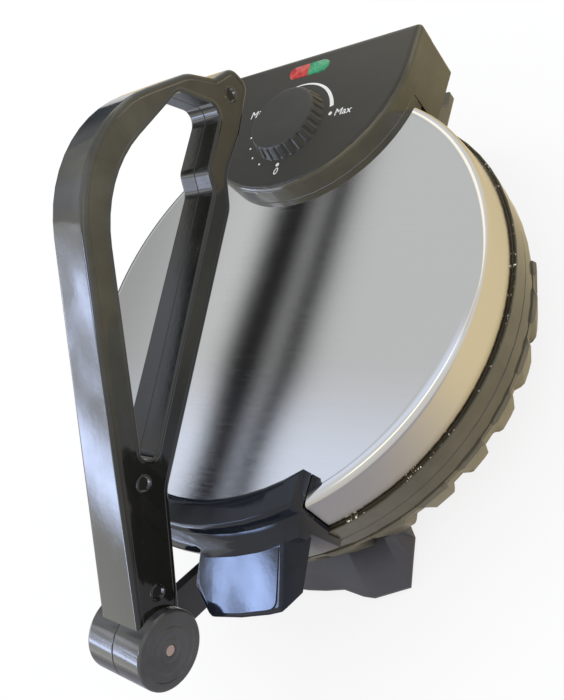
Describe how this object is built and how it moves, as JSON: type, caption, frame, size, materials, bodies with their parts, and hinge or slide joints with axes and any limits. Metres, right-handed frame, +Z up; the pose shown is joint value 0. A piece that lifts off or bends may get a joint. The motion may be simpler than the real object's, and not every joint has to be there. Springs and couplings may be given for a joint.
{
  "type": "electric flatbread maker",
  "caption": "Round electric flatbread press with hinged steel lid, hot plates, rear control box with knob and lamps, and a long looped press lever pivoted at the front.",
  "frame": {"origin": "on the floor, below the middle of the bounding box", "axes": "+Z up, -Y to the front where the lever is pivoted, +X to the right seen from the front"},
  "size_m": [0.2928, 0.3916, 0.2343],
  "materials": {
    "gloss_black": "glossy black plastic",
    "matt_black": "satin dark plastic",
    "panel_black": "fine matt panel film",
    "thumb_gloss": "high gloss blue-black",
    "brushed_steel": "brushed",
    "plain_steel": "plain steel",
    "copper": "copper coloured pin",
    "bracket_black": "black paint",
    "nonstick": "dark non-stick coat",
    "element_grey": "dull grey metal",
    "rubber": "matt rubber",
    "red_lens": "clear red lamp lens",
    "green_lens": "clear green lamp lens"
  },
  "bodies": {
    "base": {"base_shell": "matt_black", "base_ring": "gloss_black", "lower_plate": "nonstick", "lower_element": "element_grey", "lower_pan": "plain_steel", "bottom_cover": "matt_black", "bottom_screw_1": "plain_steel", "bottom_screw_2": "plain_steel", "bottom_screw_3": "plain_steel", "bottom_screw_4": "plain_steel", "front_stand": "matt_black", "rear_block": "matt_black", "rubber_foot_front_left": "rubber", "rubber_foot_front_right": "rubber", "rubber_foot_rear_left": "rubber", "rubber_foot_rear_right": "rubber", "hinge_pin_left": "plain_steel", "hinge_pin_right": "plain_steel", "lever_bracket": "bracket_black", "pivot_pin": "copper", "cable_gland": "rubber"},
    "lid": {"steel_cover": "brushed_steel", "lid_ring": "gloss_black", "upper_plate": "nonstick", "upper_element": "element_grey", "upper_pan": "plain_steel", "front_grip": "gloss_black", "thumb_plate_left": "thumb_gloss", "thumb_plate_right": "thumb_gloss", "control_box": "gloss_black", "control_panel": "panel_black", "lamp_red": "red_lens", "lamp_green": "green_lens", "thermostat": "element_grey"},
    "lever": {"lever_left": "gloss_black", "lever_right": "gloss_black", "lever_screw_1": "plain_steel", "lever_screw_2": "plain_steel", "lever_screw_3": "plain_steel"},
    "knob": {"knob": "matt_black", "knob_shaft": "plain_steel"}
  },
  "joints": [
    {"name": "lever_hinge", "type": "hinge", "parent": "base", "child": "lever", "pos_m": [0, -0.17605, 0.0956], "axis": [1, 0, 0], "range_deg": [0, 140]},
    {"name": "lid_hinge", "type": "hinge", "parent": "base", "child": "lid", "pos_m": [0, 0.17225, 0.068], "axis": [-1, 0, 0], "range_deg": [0, 61.6]},
    {"name": "knob_turn", "type": "hinge", "parent": "lid", "child": "knob", "pos_m": [0, 0.12675, 0.117], "axis": [0, 0, -1], "range_deg": [0, 270]}
  ],
  "couplings": [
    {"joint": "lid_hinge", "follows": "lever_hinge", "ratio": 0.44}
  ]
}
